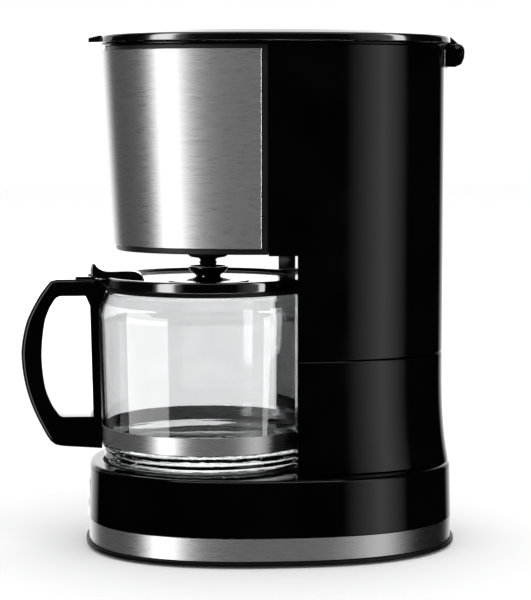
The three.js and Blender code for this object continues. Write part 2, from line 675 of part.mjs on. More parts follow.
machine.add(piece('cold_hose', coldHose(), silicone));
machine.add(piece('check_valve', checkValve(), insulation));
machine.add(piece('hot_hose', hotHose(), silicone));
machine.add(piece('riser_tube', riserTube(), silicone));
machine.add(piece('spray_head', sprayHead(), mattBlack));
machine.add(piece('cold_hose_clamp', hoseClamp([coldX, 0], 110), steel));
machine.add(piece('hot_hose_clamp', hoseClamp([hotX, 0], 97), steel));

machine.add(piece('main_lid', mainLid(), glossBlack));
machine.add(piece('lid_hinge_pin', hingePin(), steel));

machine.add(piece('carafe_glass', carafeGlass(), clear));
machine.add(piece('carafe_band', carafeBand(), steel));
machine.add(piece('carafe_collar', carafeCollar(), mattBlack));
machine.add(piece('carafe_handle', carafeHandle(), glossBlack));
machine.add(piece('handle_screw', handleScrew(), steel));
machine.add(piece('carafe_lid', carafeLid(), glossBlack));
machine.add(piece('carafe_lid_pin', carafeLidPin(), steel));

// The origin is under the middle of the whole machine's box.
machine.position.x = -(handle.reach + hinge.x + hinge.knuckle) / 2;

export default machine;
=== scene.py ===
import json
import math

import bmesh
import bpy
from mathutils import Matrix, Vector

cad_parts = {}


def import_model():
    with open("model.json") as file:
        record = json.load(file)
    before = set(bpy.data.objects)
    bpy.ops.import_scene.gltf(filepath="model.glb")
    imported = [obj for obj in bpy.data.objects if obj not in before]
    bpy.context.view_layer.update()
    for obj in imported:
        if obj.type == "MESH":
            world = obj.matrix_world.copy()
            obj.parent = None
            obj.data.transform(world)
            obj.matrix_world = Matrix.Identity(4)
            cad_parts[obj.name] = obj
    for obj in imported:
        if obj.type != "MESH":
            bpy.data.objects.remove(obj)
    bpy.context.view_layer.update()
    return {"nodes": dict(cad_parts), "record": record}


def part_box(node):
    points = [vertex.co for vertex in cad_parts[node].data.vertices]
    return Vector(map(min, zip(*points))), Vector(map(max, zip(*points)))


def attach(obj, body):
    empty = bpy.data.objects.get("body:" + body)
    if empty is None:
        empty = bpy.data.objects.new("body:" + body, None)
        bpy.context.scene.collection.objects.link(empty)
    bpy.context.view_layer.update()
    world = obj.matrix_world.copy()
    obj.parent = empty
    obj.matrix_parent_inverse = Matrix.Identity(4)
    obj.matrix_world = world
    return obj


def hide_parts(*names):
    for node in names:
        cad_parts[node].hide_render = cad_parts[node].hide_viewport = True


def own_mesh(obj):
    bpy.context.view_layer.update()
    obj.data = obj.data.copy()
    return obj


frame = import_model()

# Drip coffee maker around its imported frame. Lengths in the code below are millimetres and are
# turned into metres when a mesh is made. X = 0 is the middle of the base, as in the CAD source,
# Y runs across, Z up; the frame's boxes give the places of that middle and of the carafe's axis.
# Cutting tools reach well past the part, and the ends of tools that overlap differ by a millimetre.

MM = 0.001
OVAL_POWER = 2.4
GAP = 0.3
WALL = 2.5


def box_mm(node):
    """A CAD node's lowest and highest corners in millimetres."""
    low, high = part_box(node)
    return Vector(low) / MM, Vector(high) / MM


def middle_x(node):
    low, high = box_mm(node)
    return (low.x + high.x) / 2


BASE_X = middle_x("base_band")
AXIS_X = middle_x("drip_valve") - BASE_X
TOP_Z = box_mm("tank_housing")[1].z
DECK_Z = box_mm("base_housing")[1].z
SEAM_Z = box_mm("tank_housing")[0].z
SHELL_Z = box_mm("steel_shell")[0].z
LID_PIN_X = middle_x("carafe_lid_pin") - BASE_X
LID_PIN_Z = sum(corner.z for corner in box_mm("carafe_lid_pin")) / 2
HINGE_X = middle_x("lid_hinge_pin") - BASE_X
HINGE_Z = sum(corner.z for corner in box_mm("lid_hinge_pin")) / 2
KNUCKLE, LUG_END = 4.2, 17
RISER_X = 46

# ---- Camera ----


def add_camera():
    """The camera stands 1.15 m off, turned a little to the front and raised above the aim."""
    distance, turn, eye_z, aim_z = 1150, math.radians(5), 252, 144
    target = Vector((BASE_X - 2.4, 0, aim_z)) * MM
    eye = target + Vector((-math.sin(turn) * distance, -math.cos(turn) * distance, eye_z - aim_z)) * MM
    data = bpy.data.cameras.new("camera")
    data.sensor_width = 36
    data.lens = 116.3
    data.clip_start, data.clip_end = 0.05, 50
    camera = bpy.data.objects.new("camera", data)
    camera.location = eye
    camera.rotation_euler = (target - eye).to_track_quat("-Z", "Y").to_euler()
    bpy.context.scene.collection.objects.link(camera)
    bpy.context.scene.camera = camera


add_camera()

# ---- Mesh tools ----


def rounded(corners, closed, steps):
    """The corners (r, z) or (r, z, radius) of a profile, each radius turned into a small curve."""
    points = []
    count = len(corners)
    for i, corner in enumerate(corners):
        here = Vector(corner[:2])
        if len(corner) < 3 or (not closed and i in (0, count - 1)):
            points.append(here)
            continue
        before = Vector(corners[i - 1][:2]) - here
        after = Vector(corners[(i + 1) % count][:2]) - here
        turn = math.pi - before.angle(after)
        reach = min(corner[2] * math.tan(turn / 2), before.length * 0.49, after.length * 0.49)
        start, end = here + before.normalized() * reach, here + after.normalized() * reach
        for k in range(steps + 1):
            t = k / steps
            points.append(start * (1 - t) ** 2 + here * 2 * t * (1 - t) + end * t ** 2)
    return points


def round_plan(x=None, y=0):
    """Places profile points round an upright axis, the carafe's unless x says otherwise."""
    centre = AXIS_X if x is None else x
    return lambda r, angle, z: (centre + r * math.cos(angle), y + r * math.sin(angle), z)


def signed_power(value, power):
    return math.copysign(abs(value) ** power, value)


def oval_plan(centre, half_length, half_width, front_scale=lambda z: 1, side_scale=lambda z: 1):
    """Places profile points round a rounded oval; the scales draw in its front half or its sides."""
    def place(r, angle, z):
        along = r * signed_power(math.cos(angle), 2 / OVAL_POWER)
        across = r * signed_power(math.sin(angle), 2 / OVAL_POWER) * half_width / half_length
        return (centre + along * (front_scale(z) if along < 0 else 1), across * side_scale(z), z)
    return place


def new_object(name, mesh):
    """Turns a bmesh in millimetres into an object in metres, in the frame's own place."""
    bmesh.ops.recalc_face_normals(mesh, faces=mesh.faces)
    for vert in mesh.verts:
        vert.co = (vert.co + Vector((BASE_X, 0, 0))) * MM
    data = bpy.data.meshes.new(name)
    mesh.to_mesh(data)
    mesh.free()
    made = bpy.data.objects.new(name, data)
    bpy.context.scene.collection.objects.link(made)
    return made


def revolve(name, corners, place=None, sides=128, steps=4):
    """A solid swept round an upright axis. Its profile starts and ends on the axis, or closes."""
    place = place or round_plan()
    closed = corners[0][0] > 0
    mesh = bmesh.new()
    rings = []
    for r, z in rounded(corners, closed, steps):
        turns = sides if r > 1e-6 else 1
        rings.append([mesh.verts.new(place(r, 2 * math.pi * k / sides, z)) for k in range(turns)])
    pairs = list(zip(rings, rings[1:]))
    if closed:
        pairs.append((rings[-1], rings[0]))
    for low, high in pairs:
        for k in range(sides):
            after = k + 1
            face = [low[k % len(low)], low[after % len(low)], high[after % len(high)], high[k % len(high)]]
            face = list(dict.fromkeys(face))
            if len(face) > 2:
                mesh.faces.new(face)
    return new_object(name, mesh)


def stacked(name, loops):
    """A solid through closed loops of the same number of points, capped at both ends."""
    mesh = bmesh.new()
    rows = [[mesh.verts.new(point) for point in loop] for loop in loops]
    mesh.faces.new(rows[0])
    mesh.faces.new(rows[-1])
    for low, high in zip(rows, rows[1:]):
        for k in range(len(low)):
            mesh.faces.new([low[k - 1], low[k], high[k], high[k - 1]])
    return new_object(name, mesh)


def block(x, y, z, name="tool"):
    """A box between pairs of limits."""
    mesh = bmesh.new()
    bmesh.ops.create_cube(mesh, size=1)
    for vert in mesh.verts:
        vert.co = Vector(low + (high - low) * (c + 0.5) for (low, high), c in zip((x, y, z), vert.co))
    return new_object(name, mesh)


def rod(radius, reach, at, along="Y", sides=48, name="tool"):
    """A round bar along X, Y or Z between two limits; at gives its place on the other two axes."""
    mesh = bmesh.new()
    bmesh.ops.create_cone(mesh, cap_ends=True, segments=sides, radius1=radius, radius2=radius, depth=1)
    middle, length = (reach[0] + reach[1]) / 2, reach[1] - reach[0]
    for vert in mesh.verts:
        p, q, s = vert.co.x, vert.co.y, middle + vert.co.z * length
        vert.co = {
            "X": Vector((s, at[0] + p, at[1] + q)),
            "Y": Vector((at[0] + p, s, at[1] + q)),
            "Z": Vector((at[0] + p, at[1] + q, s)),
        }[along]
    return new_object(name, mesh)


def bake_modifiers(made):
    """Makes the object's modifiers part of its mesh."""
    graph = bpy.context.evaluated_depsgraph_get()
    data = bpy.data.meshes.new_from_object(made.evaluated_get(graph))
    made.modifiers.clear()
    made.data = data
    return made


def combine(made, operation, tools):
    """Joins, cuts or keeps with each tool in turn; the tools are used up."""
    for tool in tools:
        change = made.modifiers.new("combine", "BOOLEAN")
        change.operation, change.object, change.solver = operation, tool, "EXACT"
        bake_modifiers(made)
        bpy.data.objects.remove(tool)
    return made


def cut(made, *tools):
    return combine(made, "DIFFERENCE", tools)


def keep(made, *tools):
    return combine(made, "INTERSECT", tools)


def join(made, *tools):
    return combine(made, "UNION", tools)


def bevelled(made, width, segments=3, degrees=40):
    """Rounds the edges that turn by more than an angle."""
    change = made.modifiers.new("edges", "BEVEL")
    change.width, change.segments = width * MM, segments
    change.limit_method, change.angle_limit = "ANGLE", math.radians(degrees)
    return bake_modifiers(made)


def smooth(made, degrees=32):
    """Smooth shading, with edges sharper than an angle left crisp."""
    made.data.polygons.foreach_set("use_smooth", [True] * len(made.data.polygons))
    made.data.set_sharp_from_angle(angle=math.radians(degrees))
    change = made.modifiers.new("normals", "WEIGHTED_NORMAL")
    change.keep_sharp = True
    return bake_modifiers(made)


def slab(name, loops, y, bevel, steps=3):
    """Closed loops of (x, z) points, made thick along Y with rounded edges."""
    curve = bpy.data.curves.new(name, "CURVE")
    curve.dimensions, curve.fill_mode = "2D", "BOTH"
    curve.extrude = ((y[1] - y[0]) / 2 - bevel) * MM
    curve.bevel_depth, curve.bevel_resolution, curve.offset = bevel * MM, steps, -bevel * MM
    for loop in loops:
        spline = curve.splines.new("POLY")
        spline.points.add(len(loop) - 1)
        for point, (x, z) in zip(spline.points, loop):
            point.co = ((x + BASE_X) * MM, z * MM, 0, 1)
        spline.use_cyclic_u = True
    flat = bpy.data.objects.new(name, curve)
    bpy.context.scene.collection.objects.link(flat)
    graph = bpy.context.evaluated_depsgraph_get()
    data = bpy.data.meshes.new_from_object(flat.evaluated_get(graph))
    bpy.data.objects.remove(flat)
    mesh = bmesh.new()
    mesh.from_mesh(data)
    bmesh.ops.remove_doubles(mesh, verts=mesh.verts, dist=0.002 * MM)
    for vert in mesh.verts:
        x, z, depth = vert.co
        vert.co = (x, (y[0] + y[1]) / 2 * MM - depth, z)
    bmesh.ops.recalc_face_normals(mesh, faces=mesh.faces)
    mesh.to_mesh(data)
    mesh.free()
    made = bpy.data.objects.new(name, data)
    bpy.context.scene.collection.objects.link(made)
    return made


def between(p, q, r, s, t):
    """A smooth curve's value from q at t = 0 to r at t = 1, with p before and s after them."""
    square, cube = 2 * p - 5 * q + 4 * r - s, 3 * q - p - 3 * r + s
    return 0.5 * (2 * q + (r - p) * t + square * t ** 2 + cube * t ** 3)


def through(points, steps=8):
    """A smooth run of (x, z) points through the given ones."""
    ends = [points[0], *points, points[-1]]
    run = []
    for four in zip(ends, ends[1:], ends[2:], ends[3:]):
        for k in range(steps):
            run.append(tuple(between(*values, k / steps) for values in zip(*four)))
    return [*run, points[-1]]


def bend(corners, steps=5):
    """A closed loop of (x, z) or (x, z, radius) corners with its radii turned into curves."""
    return [tuple(point) for point in rounded(corners, True, steps)]


# ---- Materials ----


def material(name, **values):
    """A new material with these values on its principled shader."""
    made = bpy.data.materials.new(name)
    made.use_nodes = True
    shader = made.node_tree.nodes["Principled BSDF"]
    for key, value in values.items():
        shader.inputs[key.replace("_", " ")].default_value = value
    return made, made.node_tree, shader


def grain(tree, scale, stretch=(1, 1, 1), detail=3.0):
    """A noise in object space, stretched along each axis."""
    coords = tree.nodes.new("ShaderNodeTexCoord")
    mapping = tree.nodes.new("ShaderNodeMapping")
    mapping.inputs["Scale"].default_value = stretch
    noise = tree.nodes.new("ShaderNodeTexNoise")
    noise.inputs["Scale"].default_value = scale
    noise.inputs["Detail"].default_value = detail
    tree.links.new(coords.outputs["Object"], mapping.inputs["Vector"])
    tree.links.new(mapping.outputs["Vector"], noise.inputs["Vector"])
    return noise.outputs["Fac"]


def ranged(tree, source, low, high, start=0.3, end=0.7):
    """The source's middle band spread between two values."""
    spread = tree.nodes.new("ShaderNodeMapRange")
    spread.inputs["From Min"].default_value, spread.inputs["From Max"].default_value = start, end
    spread.inputs["To Min"].default_value, spread.inputs["To Max"].default_value = low, high
    tree.links.new(source, spread.inputs["Value"])
    return spread.outputs["Result"]


def blend_colour(tree, source, dark, light):
    """A colour between dark and light by the source."""
    ramp = tree.nodes.new("ShaderNodeValToRGB")
    ramp.color_ramp.elements[0].position, ramp.color_ramp.elements[1].position = 0.3, 0.7
    ramp.color_ramp.elements[0].color = (*dark, 1)
    ramp.color_ramp.elements[1].color = (*light, 1)
    tree.links.new(source, ramp.inputs["Fac"])
    return ramp.outputs["Color"]


def bump(tree, shader, source, strength, distance):
    """A bump of the source on the shader; distance is in millimetres."""
    node = tree.nodes.new("ShaderNodeBump")
    node.inputs["Strength"].default_value = strength
    node.inputs["Distance"].default_value = distance * MM
    tree.links.new(source, node.inputs["Height"])
    tree.links.new(node.outputs["Normal"], shader.inputs["Normal"])


def gloss_black():
    """High-gloss moulding: a hint of polish haze and of waviness."""
    made, tree, shader = material("gloss_black", Specular_IOR_Level=0.5)
    haze = grain(tree, 40, detail=5)
    tree.links.new(blend_colour(tree, haze, (0.0004, 0.0004, 0.0005), (0.001, 0.001, 0.0011)),
                   shader.inputs["Base Color"])
    tree.links.new(ranged(tree, haze, 0.07, 0.12), shader.inputs["Roughness"])
    bump(tree, shader, grain(tree, 45, detail=0), 0.1, 0.02)
    return made


def textured_plastic(name, dark, light, rough=(0.42, 0.55), size=900, depth=0.06):
    """Plain moulding with a fine spark-eroded grain."""
    made, tree, shader = material(name)
    fine = grain(tree, size, detail=2)
    tree.links.new(blend_colour(tree, grain(tree, 60), dark, light), shader.inputs["Base Color"])
    tree.links.new(ranged(tree, fine, *rough), shader.inputs["Roughness"])
    bump(tree, shader, fine, 0.35, depth)
    return made


def brushed_steel():
    """Steel brushed round the machine: streaks that are long on the level and fine in height."""
    made, tree, shader = material("brushed_steel", Metallic=1.0, Anisotropic=0.3)
    streaks = grain(tree, 1, (130, 130, 2400), detail=1)
    broad = grain(tree, 1, (25, 25, 700), detail=2)
    mixed = tree.nodes.new("ShaderNodeMath")
    mixed.operation = "MULTIPLY_ADD"
    mixed.inputs[1].default_value = 0.2
    tree.links.new(broad, mixed.inputs[0])
    scaled = tree.nodes.new("ShaderNodeMath")
    scaled.operation = "MULTIPLY"
    scaled.inputs[1].default_value = 0.8
    tree.links.new(streaks, scaled.inputs[0])
    tree.links.new(scaled.outputs[0], mixed.inputs[2])
    tone = blend_colour(tree, mixed.outputs[0], (0.455,) * 3, (0.55,) * 3)
    tree.links.new(tone, shader.inputs["Base Color"])
    tree.links.new(ranged(tree, mixed.outputs[0], 0.26, 0.31), shader.inputs["Roughness"])
    tangent = tree.nodes.new("ShaderNodeTangent")
    tangent.direction_type, tangent.axis = "RADIAL", "Z"
    tree.links.new(tangent.outputs["Tangent"], shader.inputs["Tangent"])
    bump(tree, shader, mixed.outputs[0], 0.015, 0.01)
    return made


def plain_metal(name, dark, light, rough=(0.18, 0.32)):
    """Drawn or plated metal with slight handling marks."""
    made, tree, shader = material(name, Metallic=1.0)
    marks = grain(tree, 220, (1, 1, 3), detail=4)
    tree.links.new(blend_colour(tree, marks, dark, light), shader.inputs["Base Color"])
    tree.links.new(ranged(tree, marks, *rough), shader.inputs["Roughness"])
    bump(tree, shader, marks, 0.15, 0.02)
    return made


def hotplate_coating():
    """Dark non-stick coating with a speckle."""
    made, tree, shader = material("hotplate_coating", Metallic=0.2)
    speck = grain(tree, 1500, detail=1)
    tree.links.new(blend_colour(tree, speck, (0.012, 0.012, 0.012), (0.035, 0.035, 0.036)),
                   shader.inputs["Base Color"])
    tree.links.new(ranged(tree, speck, 0.16, 0.24), shader.inputs["Roughness"])
    bump(tree, shader, speck, 0.2, 0.03)
    return made


def clear_glass():
    """Blown glass: slightly grey, with a waviness that fades above its thick foot."""
    made, tree, shader = material("clear_glass", Transmission_Weight=1.0, IOR=1.47)
    wave = grain(tree, 55, (1, 1, 1.6), detail=1)
    tree.links.new(ranged(tree, wave, 0.0, 0.012), shader.inputs["Roughness"])
    tree.links.new(blend_colour(tree, wave, (0.8, 0.81, 0.81), (0.83, 0.84, 0.84)),
                   shader.inputs["Base Color"])
    place = tree.nodes.new("ShaderNodeTexCoord")
    split = tree.nodes.new("ShaderNodeSeparateXYZ")
    tree.links.new(place.outputs["Object"], split.inputs["Vector"])
    ripple = tree.nodes.new("ShaderNodeMath")
    ripple.operation = "MULTIPLY"
    tree.links.new(grain(tree, 110, (1, 1, 2.5), detail=2), ripple.inputs[0])
    tree.links.new(ranged(tree, split.outputs["Z"], 1.0, 0.04, 0.058, 0.066), ripple.inputs[1])
    bump(tree, shader, ripple.outputs[0], 0.6, 0.5)
    return made


def clear_plastic():
    """The level window: clear with a faint haze."""
    made, tree, shader = material("clear_plastic", Transmission_Weight=0.9, IOR=1.49)
    wave = grain(tree, 120, detail=2)
    tree.links.new(ranged(tree, wave, 0.03, 0.08), shader.inputs["Roughness"])
    tree.links.new(blend_colour(tree, wave, (0.8, 0.82, 0.83), (0.88, 0.9, 0.9)), shader.inputs["Base Color"])
    return made


def milky(name, dark, light, through=0.25):
    """Translucent silicone or frosted tank plastic."""
    made, tree, shader = material(name, Transmission_Weight=through, Subsurface_Weight=0.1)
    cloud = grain(tree, 150, detail=3)
    tree.links.new(blend_colour(tree, cloud, dark, light), shader.inputs["Base Color"])
    tree.links.new(ranged(tree, cloud, 0.38, 0.52), shader.inputs["Roughness"])
    bump(tree, shader, cloud, 0.15, 0.05)
    return made


MATERIALS = {
    "gloss_black": gloss_black(),
    "matt_black": textured_plastic("matt_black", (0.002, 0.002, 0.0021), (0.005, 0.005, 0.0052)),
    "brushed_steel": brushed_steel(),
    "plain_steel": plain_metal("plain_steel", (0.5, 0.5, 0.51), (0.66, 0.66, 0.67)),
    "hotplate_coating": hotplate_coating(),
    "black_rubber": textured_plastic("black_rubber", (0.012,) * 3, (0.02,) * 3, (0.7, 0.85), 500),
    "silicone": milky("silicone", (0.62, 0.6, 0.55), (0.74, 0.72, 0.67)),
    "aluminium": plain_metal("aluminium", (0.6, 0.61, 0.62), (0.72, 0.73, 0.74), (0.3, 0.45)),
    "clear_glass": clear_glass(),
    "clear_plastic": clear_plastic(),
    "tank_plastic": milky("tank_plastic", (0.6, 0.63, 0.64), (0.7, 0.73, 0.74), 0.35),
    "insulator": textured_plastic("insulator", (0.55, 0.5, 0.4), (0.68, 0.63, 0.52), (0.5, 0.65), 400),
}
BODY_OF = {node: body for body, nodes in frame["record"]["behaviour"]["bodies"].items() for node in nodes}
SLOT_OF = {row["node"]: row["material_slot"] for row in frame["record"]["subparts"]}


def paint(made, slot):
    made.data.materials.clear()
    made.data.materials.append(MATERIALS[slot])


def install(made, node, slot=None):
    """Finishes a piece that stands for a CAD node: material, slot, body and the node it hides."""
    slot = slot or SLOT_OF[node]
    paint(made, slot)
    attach(made, BODY_OF[node])
    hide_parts(node)


# ---- Base ----

BASE = {"half": 108.5, "width": 81, "plate": 109.8, "band": 108, "deck": 107.8, "band_top": 17}
base_plan = oval_plan(0, BASE["half"], BASE["width"])
GLAND_AT = (30, 30)
SWITCH_Z = 32


def four_corners(along, across):
    return [(x * along, y * across) for x in (1, -1) for y in (1, -1)]


FEET = four_corners(66, 50)
SCREWS = four_corners(92, 43)


def bottom_plate():
    """The plate under the base, with holes for its feet and screws and three vents."""
    rim = BASE["plate"]
    made = revolve("bottom_plate_fine", [
        (0, 1.5), (rim, 1.5, 0.9), (rim, 3.5, 0.4), (rim - 4.3, 3.5), (rim - 4.3, 4.8),
        (0, 4.8)], base_plan, 160)
    feet = [rod(3.4, (0, 10), place, "Z") for place in FEET]
    holes = ((2.1, (0, 10)), (3.9, (0, 3.6)))
    screws = [rod(radius, reach, place, "Z") for place in SCREWS for radius, reach in holes]
    slots = [block((x - 2.5, x + 2.5), (-20, 20), (0, 10)) for x in (-30, 0, 30)]
    install(smooth(cut(made, *feet, *screws, *slots)), "bottom_plate")


def foot(index, x, y):
    """A rubber foot with a groove in its sole and a stem that fills its hole."""
    made = revolve(f"foot_{index}_fine", [
        (0, 0), (5.2, 0), (5.8, 0.5), (6.6, 0.5), (7.2, 0), (8.6, 0, 0.5), (9, 1.2, 0.2), (3, 1.2), (3, 4.2),
        (0, 4.2)], round_plan(x, y), 40)
    install(smooth(made), f"foot_{index}")


def bottom_screw(index, x, y):
    """A pan-head screw with a cross recess."""
    made = revolve(f"bottom_screw_{index}_fine", [
        (0, 1.8), (3.1, 1.8, 0.5), (3.5, 2.5), (3.5, 3.3), (1.6, 3.3), (1.6, 15),
        (0, 16)], round_plan(x, y), 32)
    arms = [block((x - a, x + a), (y - b, y + b), (1, 2.6)) for a, b in ((2, 0.4), (0.4, 2))]
    install(smooth(cut(made, *arms)), f"bottom_screw_{index}")


def base_band():
    outer, top = BASE["band"], BASE["band_top"]
    made = revolve("base_band_fine", [
        (outer - 1, 3.8), (outer, 3.8, 0.4), (outer, top, 0.4), (outer - 1, top)], base_plan, 192)
    install(smooth(made), "base_band")


def base_housing():
    """The black base: a drafted wall, a rounded shoulder and a flat deck, hollow below."""
    skirt, half, deck = BASE["band"] - 1.7, BASE["half"], BASE["deck"]
    ledge, under_deck = BASE["band_top"] + GAP, DECK_Z - 3
    made = revolve("base_housing_fine", [
        (0, DECK_Z), (deck - 0.2, DECK_Z, 3.4), (half, ledge, 0.35), (skirt, ledge), (skirt, 5.1),
        (skirt - WALL, 5.1), (skirt - WALL, ledge), (deck - WALL, 43, 3), (deck - 5.5, under_deck),
        (0, under_deck)], base_plan, 192, 6)
    plate_hole = rod(63, (40, 60), (AXIS_X, 0), "Z", 160)
    column_hole = block((38, 88), (-36, 36), (40, 60))
    switch_hole = block((-120, -92), (-14.9, 14.9), (23.6, 40.4))
    gland_hole = rod(6.3, (90, 120), GLAND_AT, "X")
    gland_seat = rod(9, (104.6, 120), GLAND_AT, "X")
    cut(made, plate_hole, column_hole, switch_hole, gland_hole, gland_seat)
    install(smooth(made), "base_housing")


def cord_gland():
    """An empty cable sleeve: a flange outside the wall, a neck through it and a bead inside."""
    made = rod(8.5, (104.9, 106.9), GLAND_AT, "X", name="cord_gland_fine")
    join(made, rod(6, (97.2, 105.9), GLAND_AT, "X"), rod(7.6, (95.8, 98.2), GLAND_AT, "X"))
    cut(made, rod(3.6, (80, 120), GLAND_AT, "X"))
    install(smooth(bevelled(made, 0.5)), "cord_gland")


def switch_bezel():
    """The frame round the rocker, with a recess for it and a hole for its leads."""
    z = SWITCH_Z
    bezel = block((-107.4, -96), (-14.5, 14.5), (z - 8, z + 8), "switch_bezel_fine")
    recess = block((-120, -98.4), (-12, 12), (z - 5.5, z + 5.5))
    cut(bezel, recess, block((-120, -90), (-4, 4), (z - 3, z + 3)))
    install(smooth(bevelled(bezel, 0.5)), "switch_bezel")


def switch_rocker():
    """The dished rocker, pressed to its off side."""
    loop = [(-2.6, -11.2), (-1.6, 0), (-2.6, 11.2), (2, 11.2), (3.4, 0), (2, -11.2)]
    axis_x, half, tilt = -103, 5.2, math.radians(8)
    turned = [(axis_x + x * math.cos(tilt) - y * math.sin(tilt), x * math.sin(tilt) + y * math.cos(tilt))
              for x, y in loop]
    ends = [[(*point, SWITCH_Z + side * half) for point in turned] for side in (-1, 1)]
    rocker = stacked("switch_rocker_fine", ends)
    install(smooth(bevelled(rocker, 0.5, degrees=25)), "switch_rocker")


def hotplate():
    """The warming plate with its shallow ring groove, and the gasket round it."""
    top, groove = 49.9, 49.4
    plate = revolve("warming_plate_fine", [
        (0, 46.4), (60, 46.4, 0.6), (60, top, 1), (54, top, 1.4), (53.2, groove), (51.5, groove), (50.7, top),
        (0, top)], sides=160)
    install(smooth(plate, 20), "warming_plate")
    gasket = revolve("plate_gasket_fine", [
        (60.4, 46.6), (62.6, 46.6), (62.6, 49.4, 0.8), (60.4, 49.4, 0.8)], sides=160)
    install(smooth(gasket), "plate_gasket")


def base_pieces():
    bottom_plate()
    for index, (foot_at, screw_at) in enumerate(zip(FEET, SCREWS), 1):
        foot(index, *foot_at)
        bottom_screw(index, *screw_at)
    base_band()
    base_housing()
    cord_gland()
    switch_bezel()
    switch_rocker()
    hotplate()


# ---- Column ----

COLUMN = {
    "centre": 2.3, "half": 100.7, "width": 64, "front": 10.2, "panel": -6.2, "ceiling": 174.6, "bay": 69,
}
LEAN = 6


def lean(z):
    """The brewer's front draws in towards its foot."""
    return 1 - LEAN / COLUMN["half"] * (TOP_Z - z) / (TOP_Z - SHELL_Z)


column_plan = oval_plan(COLUMN["centre"], COLUMN["half"], COLUMN["width"])
front_plan = oval_plan(COLUMN["centre"], COLUMN["half"], COLUMN["width"], lean)


def slug(half, z, plan=None, name="tool", sides=192):
    """An upright solid of the column's plan between two heights."""
    return revolve(name, [(0, z[0]), (half, z[0]), (half, z[1]), (0, z[1])], plan or column_plan, sides)


def bay(radius, front, top):
    """What is cut away for the carafe."""
    return join(rod(radius, (0, top), (AXIS_X, 0), "Z", 128), block((-200, front), (-100, 100), (-1, top)))


def flare(inset):
    """The lower housing's side as (r, z) points from its flared foot up, moved in by inset."""
    low, high = box_mm("lower_housing")
    height = high.z - low.z
    levels = [k / 10 for k in range(11)]
    return [(COLUMN["half"] + 4 * (1 - t) ** 3 - inset, low.z + t * height) for t in levels]


def lower_housing():
    """The foot of the column, flaring out to meet the base."""
    low, high = box_mm("lower_housing")
    half = COLUMN["half"]
    outer = revolve("lower_housing_fine", [
        (0, low.z), *flare(0)[:-1], (half, high.z, 1.5), (0, high.z)], column_plan, 192)
    inner = revolve("tool", [
        (0, 0), (half + 1.5, 0), *flare(WALL), (half - WALL, 130), (0, 130)], column_plan, 128)
    cut(outer, bay(COLUMN["bay"], COLUMN["front"], 200))
    cut(outer, cut(inner, bay(COLUMN["bay"] + WALL, COLUMN["front"] + WALL, 200)))
    install(smooth(bevelled(outer, 0.7)), "lower_housing")


def level_slot(inset):
    """The level window's slot in the wall on the far side, shrunk all round by inset."""
    half = 4.5 - inset
    x, low, high, across = 62, 154.5, 257.5, (30, 90)
    made = block((x - half, x + half), across, (low, high))
    return join(made, *[rod(half, across, (x, z)) for z in (low + 0.02, high - 0.02)])


def latch_recess():
    """A shallow oblong recess below the rim, near the hinge on the near side."""
    made = block((-0.9, 6), (-7.8, 7.8), (-4, 4))
    made.data.transform(Matrix.Translation(Vector((BASE_X + 84, -43.5, 287.2)) * MM)
                        @ Matrix.Rotation(math.radians(-51), 4, "Z")
                        @ Matrix.Translation(Vector((-BASE_X, 0, 0)) * MM))
    return made


def tank_housing():
    """The tall black shell with the brewer's side panels."""
    half, front, ceiling = COLUMN["half"], COLUMN["front"], COLUMN["ceiling"]
    outer = revolve("tank_housing_fine", [
        (0, SEAM_Z), (half, SEAM_Z, 0.9), (half, TOP_Z), (0, TOP_Z)], column_plan, 192)
    cut(outer, block((-200, COLUMN["panel"]), (-100, 100), (0, 400)), bay(COLUMN["bay"], front, ceiling))
    inner = slug(half - WALL, (SEAM_Z - 10, TOP_Z + 10))
    cut(outer, cut(inner, bay(COLUMN["bay"] + WALL, front + WALL, ceiling + WALL)))
    cut(outer, level_slot(0), latch_recess())
    install(smooth(bevelled(outer, 0.7)), "tank_housing")


def level_window():
    """The clear window in the far wall that shows the water's height."""
    made = slug(COLUMN["half"] + 0.8, (120, 290), name="level_window_fine")
    cut(made, slug(COLUMN["half"] - WALL, (110, 300)))
    keep(made, level_slot(GAP))
    install(smooth(bevelled(made, 0.35)), "level_window")


def water_tank():
    """The tank inside the column, with its outlet at the foot and a notch for the spray arm."""
    half, inset, thick, floor = COLUMN["half"], 3.2, 2, 122
    low, high = box_mm("water_tank")
    outer = slug(half - inset, (floor - thick, high.z), name="water_tank_fine")
    cut(outer, bay(COLUMN["bay"] + inset, COLUMN["front"] + inset, 400))
    inner = slug(half - inset - thick, (floor, 400))
    cut(outer, cut(inner, bay(COLUMN["bay"] + inset + thick, COLUMN["front"] + inset + thick, 401)))
    join(outer, rod(2.8, (low.z, floor - 1), (70, 0), "Z"))
    cut(outer, rod(1.6, (100, 130), (70, 0), "Z"), rod(5, (100, 130), (RISER_X, 0), "Z"),
        block((20, 50), (-6.5, 6.5), (286.6, 300)))
    install(smooth(bevelled(outer, 0.4, 2)), "water_tank")


def hinge_bore():
    return rod(2, (-60, 60), (HINGE_X, HINGE_Z))


